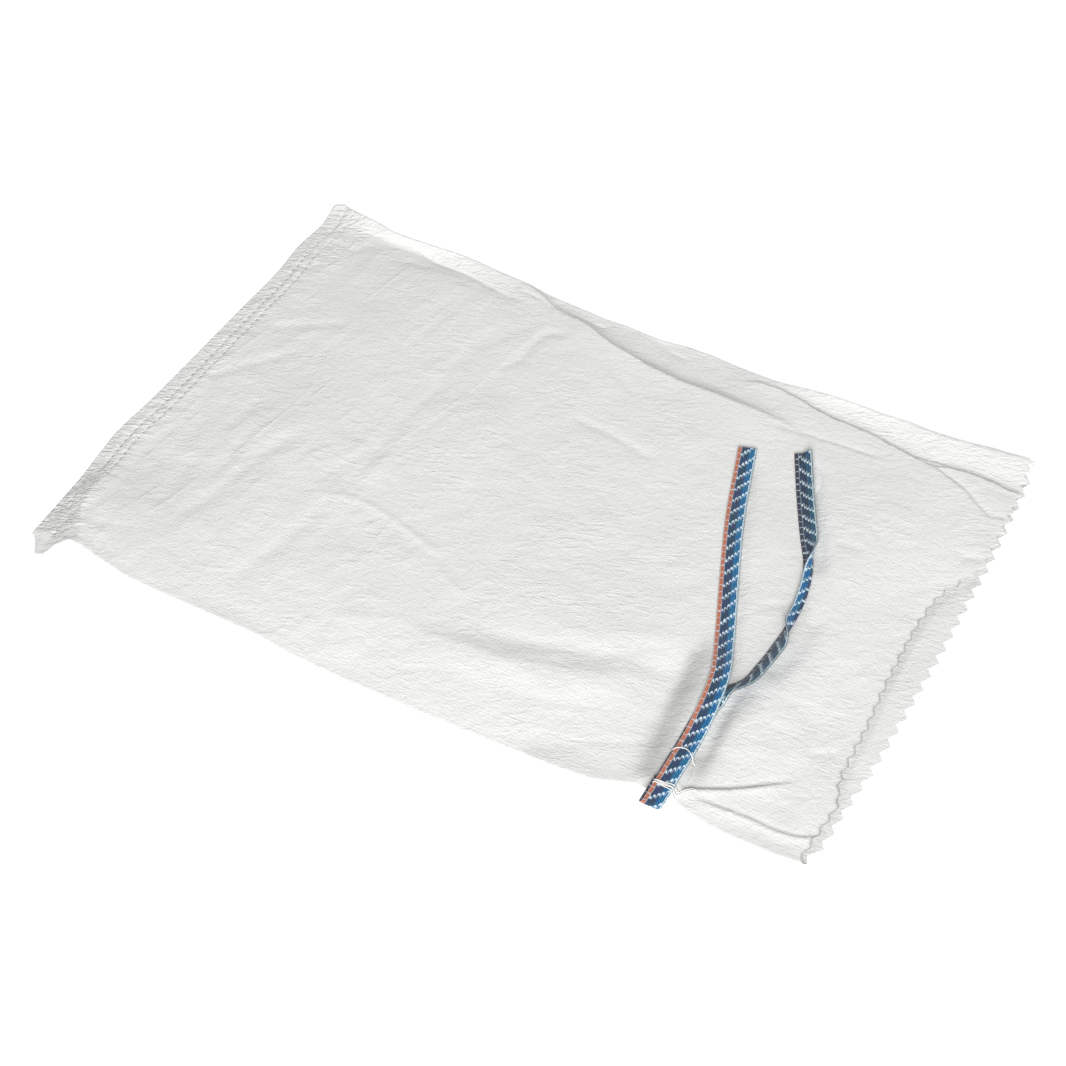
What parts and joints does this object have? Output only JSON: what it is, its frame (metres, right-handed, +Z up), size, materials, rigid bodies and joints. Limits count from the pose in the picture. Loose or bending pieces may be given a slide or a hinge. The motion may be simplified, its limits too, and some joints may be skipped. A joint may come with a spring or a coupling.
{
  "type": "empty woven sandbag with tie band",
  "caption": "Empty flat-woven sack lying flat, closed by a stitched hem at one end, with a zigzag-cut open mouth and a folded tie band sewn to one side for closing it once filled.",
  "frame": {"origin": "middle of the bag's underside, on the floor it lies on", "axes": "+X runs along the bag from the stitched hem to the open mouth, +Y across it from the side with the tie band to the plain side, +Z up out of the floor"},
  "size_m": [0.61, 0.4135, 0.0251],
  "materials": {
    "woven_cloth": "silky white flat-tape weave, slightly see-through",
    "tie_webbing": "woven stripes of orange, dark navy and bright blue with white ticks",
    "sewing_thread": "matt white twisted thread"
  },
  "bodies": {
    "root": {"bag_body": "woven_cloth", "hem_thread_outer": "sewing_thread", "hem_thread_inner": "sewing_thread", "tie_band": "tie_webbing", "tie_stitch_edge": "sewing_thread", "tie_stitch_inner": "sewing_thread"}
  },
  "joints": []
}
